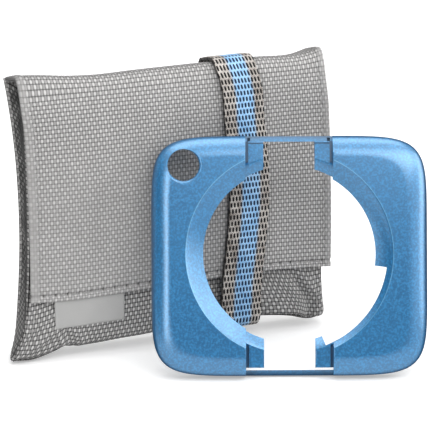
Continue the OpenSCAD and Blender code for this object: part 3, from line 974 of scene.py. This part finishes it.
def strap_path():
    """Points (y, z) of the loop's inner face: up the front, over the top, down the back and under."""
    front, back, low, knee = STRAP_FRONT, STRAP_BACK, STRAP_LOW, STRAP_LOW + LOW_TURN
    rear_y, rear_z = back - REAR_TURN[0], STRAP_TOP - FALL
    k = np.linspace(0, 1, 60)[1:]
    parts = [
        [(front, knee)],
        np.linspace((front, knee), (front, FOLD_Z), 200)[1:],
        arc((CREST_Y, FOLD_Z), (front, FOLD_Z), (CREST_Y, STRAP_TOP), 60),
        np.stack([CREST_Y + (rear_y - CREST_Y) * k, STRAP_TOP - FALL * k**1.25], -1),
        arc((rear_y, rear_z - REAR_TURN[1]), (rear_y, rear_z), (back, rear_z - REAR_TURN[1]), 20),
        np.linspace((back, rear_z - REAR_TURN[1]), (back, knee), 200)[1:],
        arc((back - LOW_TURN, knee), (back, knee), (back - LOW_TURN, low), 16),
        np.linspace((back - LOW_TURN, low), (front + LOW_TURN, low), 40)[1:],
        arc((front + LOW_TURN, knee), (front + LOW_TURN, low), (front, knee), 16),
    ]
    return np.vstack(parts)[:-1]


strap_bow = curve([(3, -2.2), (8, -1.5), (14, -1.2), (21, -0.9), (33, 0.35), (46, 1.45), (55, 1.7), (66, 1.1),
                   (79, -0.2), (89.5, -1.0), (93.5, -1.9), (97.5, -3.0), (101, -3.1)])


def strap_middle(y, z):
    """X of the strap's middle: it bows a little and slants back over the top."""
    front = step(STRAP_BACK - 1, STRAP_FRONT + 7, y)
    rear = -2.2 * step(20, 90, z)
    return STRAP_MID + strap_bow(z) * front + rear * (1 - front)


def make_strap():
    """The elastic band swept along its path, with its slots in brick order."""
    path = strap_path()
    closed = np.vstack([path, path[:1]])
    lengths = np.concatenate([[0], np.cumsum(np.linalg.norm(np.diff(closed, axis=0), axis=1))])
    rows = round(lengths[-1] / SLOT_ROW)
    rows += rows % 2
    count = rows * STEPS_PER_ROW
    s = np.arange(count) / count * lengths[-1]
    y, z = np.interp(s, lengths, closed[:, 0]), np.interp(s, lengths, closed[:, 1])
    ty, tz = np.roll(y, -2) - np.roll(y, 2), np.roll(z, -2) - np.roll(z, 2)
    norm = np.hypot(ty, tz)
    ny, nz = -tz / norm, ty / norm
    mid = strap_middle(y, z)
    steps = (np.arange(SLOT_COLUMNS * STEPS_PER_COLUMN) + 0.5) / STEPS_PER_COLUMN
    outer = np.concatenate([[0], steps, [SLOT_COLUMNS]])
    section = [(c, STRAP_T, 1.0) for c in outer]
    section += [(SLOT_COLUMNS + 0.16, STRAP_T * 0.72, 0.0), (SLOT_COLUMNS + 0.16, STRAP_T * 0.28, 0.0)]
    section += [(c, 0.0, 0.0) for c in np.linspace(SLOT_COLUMNS, 0, 9)]
    section += [(-0.16, STRAP_T * 0.28, 0.0), (-0.16, STRAP_T * 0.72, 0.0)]
    c, lift, face = (np.array(a)[:, None] for a in zip(*section))
    row = (s / lengths[-1] * rows)[None, :]
    relief = face * (-0.32 * slot_depth(c, row) + 0.04 * np.cos(2 * math.pi * row) * (1 - slot_depth(c, row)))
    crown = -0.10 * face * step(SLOT_COLUMNS / 2 - 1.2, SLOT_COLUMNS / 2, np.abs(c - SLOT_COLUMNS / 2))
    away = lift + relief + crown - 0.04
    x = mid[None, :] + (c / SLOT_COLUMNS - 0.5) * (STRAP_W + 0.1)
    pts = np.stack([x, y[None, :] + ny[None, :] * away, z[None, :] + nz[None, :] * away], -1)
    faces = quads(*pts.shape[:2], wrap_u=True, wrap_v=True)
    uv = np.stack(np.broadcast_arrays(c, row + 0 * c), -1).reshape(-1, 2)
    obj = make("strap", pts.reshape(-1, 3), faces, ELASTIC, uv)
    # the uv row runs on past the seam, so the last quads don't stretch the pattern
    layer = obj.data.uv_layers[0].data
    for poly in obj.data.polygons:
        vs = [layer[i].uv[1] for i in poly.loop_indices]
        if max(vs) - min(vs) > rows / 2:
            for i in poly.loop_indices:
                if layer[i].uv[1] < rows / 2:
                    layer[i].uv[1] += rows
    fix_normals(obj.data)
    return obj


strap = make_strap()
JOIN_W, JOIN_H = join_high[0] - join_low[0], join_high[2] - join_low[2]
JOIN_CELL = (JOIN_W / SLOT_COLUMNS, SLOT_ROW)
JOIN_ROWS = (2.0, JOIN_H - 2.0)      # where the two stitch rows cross the overlap
JOIN_OUT = 1.17                      # height of its outer face over the strap's


def join_shape(u, v):
    """The overlap's outer face, a little over the strap's back: u from right to left."""
    z = join_low[2] + v
    mid = strap_middle(np.full(z.shape, STRAP_BACK), z)
    return np.stack([mid + JOIN_W / 2 - u, np.full(z.shape, STRAP_BACK + STRAP_T + JOIN_OUT), z], -1)


def join_detail(u, v):
    """The elastic's slots, and the pinch of the two stitch rows."""
    pinch = sum(bump(v, row, 0.6) for row in JOIN_ROWS)
    return -0.25 * slot_depth(u / JOIN_CELL[0], v / JOIN_CELL[1]) - 0.25 * pinch


overlap = Cloth("strap_overlap", join_shape, (JOIN_W, JOIN_H), JOIN_CELL, 0.0, 1.1, ELASTIC, roll=0.5,
                fine=(3, 6), coarse=2.0, extra=join_detail)
join_places = [(u, v) for v in JOIN_ROWS for u in np.arange(2.4, JOIN_W - 2, 2.6)]
overlap_thread = stitches("strap_overlap_stitches", [(overlap, join_places)], "u", length=2.0, radius=0.28,
                          lift=0.1)

# ---- cover ----

COVER_W, COVER_H, COVER_D, COVER_WALL = 91.6, 79.6, 10.0, 1.8
POWER, EDGE_IN, EDGE_DEEP, ROUND = 6.75, 6.6, 5.0, 1.18      # outline's squareness, and the face's round edge
OPENING_R, RISE = min(COVER_W, COVER_H) / 2 - 5.4, 0.6
LIP_W, LIP_DEEP, LIP_T = 5.8, 4.0, 1.6
CROWN = 1.4
NOTCH, BRIDGE = 14.5, 3.0
STRIP_Y = COVER_H / 2 - 2.2                                  # inner edge of the bridging strips
TAB_DEEP, TAB_T, TAB_W, TAB_IN, TAB_EDGE_IN, RISER_T = 2.3, 1.5, 6.0, 1.5, 2.7, 1.5
TAB_LIP_W, TAB_LIP_DROP, GROOVE, STRIP_PIT = 3.6, 2.2, 0.6, -8.7
HOLE_R, HOLE_X, HOLE_Y, HOLE_DEPTH = 5.3, 10.8 - COVER_W / 2, COVER_H / 2 - 9.6, 2.5
CUTBACK_IN, CUTBACK = 1.8, (-68.5, -8.0)                     # depth and angles where the lip is cut back
ROUND_STEPS = 720
ANGLES = np.arange(ROUND_STEPS) / ROUND_STEPS * 2 * math.pi
ABOVE, BELOW = 4.0, -12.0                                    # heights clear of the cover, for cutting tools

hole_mount = next(m for m in frame["record"]["mounts"] if m["name"] == "corner_hole")
FACE = Vector(hole_mount["axis"]).normalized()
ACROSS = Vector((0, 0, 1)).cross(FACE).normalized()
UP = FACE.cross(ACROSS)
COVER_AT = Vector(hole_mount["pos_m"]) / MM - ACROSS * HOLE_X - UP * HOLE_Y + FACE * HOLE_DEPTH


def outline(angle, inset):
    """Distance from the opening's centre to the cover's outline, drawn in by inset, found by halving."""
    a, b = COVER_W / 2 - inset, COVER_H / 2 - inset
    low, high = np.zeros(angle.shape), np.full(angle.shape, 80.0)
    for _ in range(40):
        mid = (low + high) / 2
        out = np.abs(mid * np.cos(angle) / a) ** POWER + np.abs((mid * np.sin(angle) + RISE) / b) ** POWER > 1
        high, low = np.where(out, mid, high), np.where(out, low, mid)
    return (low + high) / 2


def turned(r, z):
    """A closed ring about the opening's centre, from radii and heights of (turn, row)."""
    pts = np.stack([np.cos(ANGLES)[:, None] * r, np.sin(ANGLES)[:, None] * r + RISE, z], -1)
    return pts, quads(ROUND_STEPS, pts.shape[1], wrap_u=True, wrap_v=True)


def loft(rings):
    """A solid through rings of the same number of points, closed at both ends."""
    rings = np.array(rings, float)
    m, n = rings.shape[:2]
    faces = [*quads(m, n, wrap_v=True), range(n), range((m - 1) * n, m * n)]
    return scratch(rings, faces)


def scratch(points, faces):
    """An object in millimetres, to be joined or cut before the real piece is made."""
    mesh = bpy.data.meshes.new("scratch")
    mesh.from_pydata(np.reshape(points, (-1, 3)).tolist(), [], [list(map(int, f)) for f in faces])
    fix_normals(mesh)
    obj = bpy.data.objects.new("scratch", mesh)
    bpy.context.scene.collection.objects.link(obj)
    return obj


def evaluated(obj):
    """The object's mesh with its modifiers applied."""
    made = bpy.data.meshes.new_from_object(obj.evaluated_get(bpy.context.evaluated_depsgraph_get()))
    obj.modifiers.clear()
    return made


def combine(target, operation, tool):
    """Applies a boolean operation with a tool, and removes the tool."""
    modifier = target.modifiers.new("combine", "BOOLEAN")
    modifier.operation, modifier.object, modifier.solver = operation, tool, "MANIFOLD"
    target.data = evaluated(target)
    bpy.data.objects.remove(tool)


def circle(r, z, x=0.0, y=0.0, count=96):
    angles = [2 * math.pi * k / count for k in range(count)]
    return [(x + r * math.cos(a), y + r * math.sin(a), z) for a in angles]


def block(xs, ys, zs, edge):
    """A box whose upper edges are softened."""
    (x0, x1), (y0, y1) = sorted(xs), sorted(ys)
    rings = []
    for inset, z in ((0, zs[0]), (0, zs[1] - edge), (edge * 0.3, zs[1] - edge * 0.3), (edge, zs[1])):
        a, b, c, d = x0 + inset, y0 + inset, x1 - inset, y1 - inset
        rings.append([(a, b, z), (c, b, z), (c, d, z), (a, d, z)])
    return loft(rings)


def lip_profile(outer, width, drop, level, bend=1.2):
    """Slope of the lip from its inner edge out to the face, and its underside."""
    shares = np.append(np.linspace(0, 0.94, 13), [0.975, 1.0])
    top = [(outer - width * (1 - s), level - drop * (1 - s) ** bend) for s in shares]
    under = [(outer + LIP_T - (width + 0.8) * (1 - s),
              level - 0.5 * (1 - s) - drop * (1 - s) ** bend - LIP_T * s) for s in shares[::-1]]
    return top, [*under, (outer - width + 0.12, level - drop - 0.35)]


def crown(y):
    """How far the slightly crowned face has fallen at a height on it."""
    return CROWN * (y / 40) ** 2


def tab_fall(y):
    """How far the tabs have fallen with the crown at a height on it."""
    return crown(28.0) + (crown(37.0) - crown(28.0)) / 9 * (abs(y) - 28)


def cover_shell():
    """The face with its lip and round edge, the rim, and the inner side, as rows round the opening."""
    # the lip falls away more steeply on the right
    bend = 0.95 - 0.27 * np.maximum(np.cos(ANGLES), 0) ** 2
    top, under = lip_profile(OPENING_R, LIP_W, LIP_DEEP, 0.0, bend)
    rows = [*top, (OPENING_R + 0.28, 0)]
    inset_r = np.maximum(outline(ANGLES, EDGE_IN), OPENING_R + 0.3)
    rows += [(OPENING_R + (inset_r - OPENING_R) * k / 6, 0) for k in range(1, 6)]
    floor = OPENING_R + 0.3
    for t in np.radians(np.linspace(90, 0, 15)):
        floor += 0.02
        inset = EDGE_IN * (1 - math.cos(t) ** ROUND)
        rows.append((np.maximum(outline(ANGLES, inset), floor), -EDGE_DEEP * (1 - math.sin(t) ** ROUND)))
    for inset, z in ((0, -6.5), (0, -8), (0, -9.5), (0.08, -9.85), (0.35, -10), (1.4, -10), (1.72, -9.85),
                     (1.8, -9.5), (COVER_WALL, -7.5)):
        rows.append((outline(ANGLES, inset), z))
    floor = OPENING_R + LIP_T + 0.6
    for t in np.radians(np.linspace(0, 90, 10)):
        floor -= 0.02
        inset = COVER_WALL + EDGE_IN * (1 - math.cos(t))
        z = -COVER_WALL - (EDGE_DEEP - COVER_WALL / 2) * (1 - math.sin(t))
        rows.append((np.maximum(outline(ANGLES, inset), floor), z))
    lip_r = OPENING_R + LIP_T
    inner_r = np.maximum(outline(ANGLES, COVER_WALL + EDGE_IN), lip_r + 0.3)
    rows += [(lip_r + (inner_r - lip_r) * k, -COVER_WALL + 0.1 * (1 - k)) for k in (0.66, 0.33)]
    rows += under
    r, z = (np.stack([np.broadcast_to(row[k], ROUND_STEPS) for row in rows], -1) for k in (0, 1))
    pts, faces = turned(r, z)
    pts[..., 2] -= crown(pts[..., 1]) * np.clip(1 + pts[..., 2] / 5, 0, 1)
    return scratch(pts, faces)


def cut_notches(cover):
    """Cut-outs above and below, with a softened edge at the face; the bridging strips slope outwards."""
    level = -COVER_D + BRIDGE
    flare = ((level, 0.0), (-0.45, 0.0), (-0.2, 0.06), (-0.05, 0.2), (0.05, 0.45), (3.0, 1.2))
    along = np.append(np.linspace(2.0, 42.0, 41), COVER_H)
    wedge = [(STRIP_Y, level), (COVER_H / 2 + 3, level + 0.5), (COVER_H / 2 + 3, level - 2.3)]
    for sy in (-1, 1):
        rings = []
        for k, (z, grow) in enumerate(flare):
            side = [(NOTCH + grow, sy * y, z - crown(y) * (0 < k < 5) * (y < 43)) for y in along]
            rings.append(side + [(-a, b, c) for a, b, c in side[::-1]])
        combine(cover, "DIFFERENCE", loft(rings))
        combine(cover, "DIFFERENCE", loft([[(x, sy * y, z) for y, z in wedge] for x in (-NOTCH, NOTCH)]))


def add_tab(cover, sx, sy):
    """A tab at a cut-out's corner, set back from the face, with the lip below it."""

    def corner(x0, x1, y0, y1, z0, z1, edge=0.01):
        return block((sx * x0, sx * x1), (sy * y0, sy * y1), (z0, z1), edge)

    reach = COVER_H / 2 - TAB_EDGE_IN + (0.9 if sy > 0 else 0.0)
    inner, outer, groove = NOTCH - TAB_W, NOTCH + RISER_T, -TAB_DEEP - GROOVE
    tab = corner(inner, outer, 22.0, reach, -TAB_DEEP - TAB_T, -TAB_DEEP, 0.3)
    riser_top = -COVER_WALL / 2 - 0.3
    combine(tab, "UNION", corner(NOTCH, outer, 22.0, COVER_H / 2 - 3.6, -TAB_DEEP - 0.4, riser_top, 0.05))
    # grooves beside the riser and below the bridging strip
    combine(tab, "DIFFERENCE", corner(NOTCH - 1.0, NOTCH, 23.0, 39.0, groove, 0.0))
    if sy > 0:
        combine(tab, "DIFFERENCE", corner(0.0, NOTCH, STRIP_Y - 0.45, STRIP_Y - 0.02, groove, 0.0))
    opening = [circle(OPENING_R - TAB_IN, z, y=RISE, count=ROUND_STEPS) for z in (BELOW, ABOVE)]
    combine(tab, "DIFFERENCE", loft(opening))
    top, under = lip_profile(OPENING_R - TAB_IN, TAB_LIP_W, TAB_LIP_DROP, -TAB_DEEP)
    r, z = np.array(top + under).T
    lip = scratch(*turned(r, np.broadcast_to(z, (ROUND_STEPS, len(z)))))
    combine(lip, "INTERSECT", corner(inner, outer, 0.0, COVER_H, BELOW, ABOVE))
    combine(tab, "UNION", lip)
    for vertex in tab.data.vertices:
        vertex.co.z -= tab_fall(vertex.co.y)
    combine(cover, "UNION", tab)
    if sy > 0:
        pit = corner(NOTCH - 1.7, NOTCH - 0.7, STRIP_Y + 0.5, STRIP_Y + 1.7, STRIP_PIT, 0.0)
        combine(cover, "DIFFERENCE", pit)


def add_details(cover):
    """The wall round the small hole, the clip lugs inside the rim, the lip's cut-back and the small hole."""
    combine(cover, "UNION", loft([circle(HOLE_R + 1.3, z, HOLE_X, HOLE_Y) for z in (-5.0, -3.3)]))
    for sx in (-1, 1):
        for y in (-COVER_H / 4, COVER_H / 4):
            xs = (sx * (COVER_W / 2 - COVER_WALL - 0.9), sx * (COVER_W / 2 - COVER_WALL / 2))
            combine(cover, "UNION", block(xs, (y - 4, y + 4), (-COVER_D + 0.5, -COVER_D + 1.7), 0.3))
    fan, r = np.radians(np.linspace(*CUTBACK, 60)), OPENING_R - CUTBACK_IN
    sector = [(0.0, RISE)] + [(r * math.cos(a), r * math.sin(a) + RISE) for a in fan]
    combine(cover, "DIFFERENCE", loft([[(x, y, z) for x, y in sector] for z in (-6.5, 2.0)]))
    flare = ((-8.0, 0.0), (-0.75, 0.0), (-0.5, 0.05), (-0.28, 0.16), (-0.12, 0.34), (-0.03, 0.6), (0.03, 0.9),
             (2.0, 0.9))
    rings = [circle(HOLE_R + grow, z, HOLE_X, HOLE_Y) for z, grow in flare]
    rings = [[(x, y, z - crown(y) * (-2 < z < 1)) for x, y, z in turn] for turn in rings]
    combine(cover, "DIFFERENCE", loft(rings))


def make_cover():
    """The moulding in its place, with its looks' attributes on each point."""
    shell = cover_shell()
    cut_notches(shell)
    for sx in (-1, 1):
        for sy in (-1, 1):
            add_tab(shell, sx, sy)
    add_details(shell)
    co = np.array([v.co for v in shell.data.vertices])
    faces = [list(p.vertices) for p in shell.data.polygons]
    bpy.data.objects.remove(shell)

    # painted shade: the rim's wall, the grooves and the pits are painted a deeper blue, and a painted
    # highlight runs round the opening's edge
    x, y, z = co.T
    radius, face_z = np.hypot(x, y - RISE), z + crown(y)
    around = radius - OPENING_R
    wall = step(-1.8, -4.0, face_z) * (outline(np.arctan2(y - RISE, x), 1.5) < radius)
    groove = (np.abs(z + TAB_DEEP + GROOVE + tab_fall(y)) < 0.05) & (np.abs(x) < NOTCH + 0.1)
    pit = (np.abs(z - STRIP_PIT) < 0.02) & (np.abs(x) < NOTCH)
    wall[(groove & (around > 0.3 - TAB_IN)) | pit] = 1.0
    painted_highlight = (np.abs(around) < 0.05) * (np.abs(face_z) < 0.4)
    points = np.array(COVER_AT) + co @ np.array([ACROSS, UP, FACE])
    obj = make("cover", points, faces, PLASTIC, values={"wall": wall, "painted_highlight": painted_highlight}, sharp=34)
    # normals weighted by face area keep the flat faces flat next to their softened edges
    even = obj.modifiers.new("even", "WEIGHTED_NORMAL")
    even.keep_sharp, even.weight = True, 60
    obj.data = evaluated(obj)
    return obj


cover = make_cover()

# ---- what each piece stands for, and what it rides on; the flap's outer cloth and lining stay unparented ----

for piece, body, slot, *nodes in (
    (flap, "flap", "woven_nylon", "flap_panel", "flap_foam"),
    (flap_inner, "flap", "lining", "flap_lining"),
    (flap_hem, "flap", "woven_nylon", "flap_hem"),
    (hem_thread, "flap", "thread", "flap_hem_thread"),
    (left_thread, "flap", "thread", "flap_left_thread"),
    (right_thread, "flap", "thread", "flap_right_thread"),
    (label, "flap", "satin_label", "label_tag"),
    (pocket_front, "pouch", "woven_nylon", "front_panel", "foam_front"),
    (pocket_back, "pouch", "woven_nylon", "back_panel", "foam_back"),
    (pocket_bottom, "pouch", "woven_nylon", "bottom_panel"),
    (side_left, "pouch", "coarse_nylon", "left_gusset"),
    (side_right, "pouch", "coarse_nylon", "right_gusset"),
    (lining_front, "pouch", "lining", "lining_front"),
    (lining_back, "pouch", "lining", "lining_back"),
    (binding, "pouch", "woven_nylon", "mouth_hem"),
    (left_seam, "pouch", "thread", "left_seam_thread"),
    (right_seam, "pouch", "thread", "right_seam_thread"),
    (strap, "strap", "strap_elastic", "strap_band"),
    (overlap, "strap", "strap_elastic", "strap_join"),
    (overlap_thread, "strap", "thread", "strap_join_thread"),
    (cover, "cover", "blue_plastic", "cover_shell"),
):
    obj = getattr(piece, "object", piece)
    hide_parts(*nodes)
    if piece in (flap, flap_inner):
        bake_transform(obj)
    else:
        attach(obj, body)
    if body == "strap":
        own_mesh(obj)

# ---- floor, light and camera ----

FLOOR_HALF, FLOOR_GREY, FLOOR_GLOW = 4.0, 0.80, 0.35
corners = [(x * FLOOR_HALF, y * FLOOR_HALF, 0) for x, y in ((-1, -1), (1, -1), (1, 1), (-1, 1))]
floor_mesh = bpy.data.meshes.new("floor")
floor_mesh.from_pydata(corners, [], [(0, 1, 2, 3)])
floor = bpy.data.objects.new("floor", floor_mesh)
bpy.context.scene.collection.objects.link(floor)
matt = Material("floor", base_color=(FLOOR_GREY,) * 3, roughness=1.0, specular_ior_level=0.0)
seen = (matt.ray("Camera") + matt.ray("Transmission")).of("MINIMUM", 1.0)
lit = matt.node("ShaderNodeAddShader", matt.shader.outputs[0], matt.emission(seen * FLOOR_GLOW))
# in gloss the floor shows bright close to the object and dark further in front
front = Vector((FACE.x, FACE.y)).normalized()
x, y, _ = matt.split(matt.place())
ahead = x * front.x + y * front.y
near = ahead.step(0.24, 0.10) * ahead.step(0.0165, 0.0205) * 0.95 + 0.05
shown = matt.node("ShaderNodeMixShader", matt.ray("Glossy"), lit.outputs[0], matt.emission(near))
plug(matt.tree, matt.tree.nodes["Material Output"].inputs["Surface"], shown.outputs[0])
floor_mesh.materials.append(matt.made)
floor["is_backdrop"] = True

WORLD_LIGHT = 0.56
world = bpy.data.worlds.new("studio")
bpy.context.scene.world = world
world.use_nodes = True
room = Nodes(world.node_tree)
# in gloss the room is dark in front of the object and behind it, and bright round its sides and above
east, north, high = room.split(room.node("ShaderNodeTexCoord").outputs["Generated"])
facing = east * -0.56 + north * -0.82 + high * 0.12
flag = (east * -0.99 + north * 0.08 + high * 0.05).step(0.70, 0.90) * -0.95 + 1.0
ring = facing.step(0.98, 0.40) * facing.step(-0.7, -0.1) * flag * 0.96 + 0.04
camera_ray, glossy_ray = room.ray("Camera"), room.ray("Glossy")
others = (-camera_ray - glossy_ray + 1.0).of("MAXIMUM", 0.0)
background = room.tree.nodes["Background"]
background.inputs["Color"].default_value = (1, 1, 1, 1)
plug(room.tree, background.inputs["Strength"], camera_ray + ring * glossy_ray + others * WORLD_LIGHT)

# name, place, point that it faces, width and height in metres, and power in watts
for name, at, to, size, power in (
    ("key", (0.24, -0.90, 1.0), (-0.01, 0, 0.05), (1.3, 0.7), 9.0),
    ("top", (0.0, 0.05, 1.2), (0, 0, 0.05), (1.3, 0.6), 6.0),
    ("right", (0.98, -0.40, 0.40), (0, 0, 0.05), (0.6, 0.9), 5.0),
    ("left", (-0.86, -0.63, 0.36), (0, 0, 0.05), (0.26, 0.9), 3.8),
):
    light = bpy.data.lights.new(name, "AREA")
    light.shape = "RECTANGLE"
    light.size, light.size_y = size
    light.energy = power
    lamp = bpy.data.objects.new(name, light)
    lamp.location = at
    lamp.rotation_euler = (Vector(to) - Vector(at)).to_track_quat("-Z", "Y").to_euler()
    bpy.context.scene.collection.objects.link(lamp)

AZIMUTH, ELEVATION, DISTANCE = math.radians(-20.733), math.radians(18.207), 1.461
TARGET = Vector((-0.00082, 0.01044, 0.04857))
LENS, SENSOR = 364.2, 36.0
level = math.cos(ELEVATION)
away = Vector((math.sin(AZIMUTH) * level, -math.cos(AZIMUTH) * level, math.sin(ELEVATION)))
camera_data = bpy.data.cameras.new("camera")
camera_data.lens, camera_data.sensor_width = LENS, SENSOR
camera_data.clip_start, camera_data.clip_end = 0.05, 20.0
camera = bpy.data.objects.new("camera", camera_data)
camera.location = TARGET + away * DISTANCE
camera.rotation_euler = (-away).to_track_quat("-Z", "Y").to_euler()
bpy.context.scene.collection.objects.link(camera)
bpy.context.scene.camera = camera
bpy.context.scene.view_settings.view_transform = "Standard"

low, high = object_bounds()
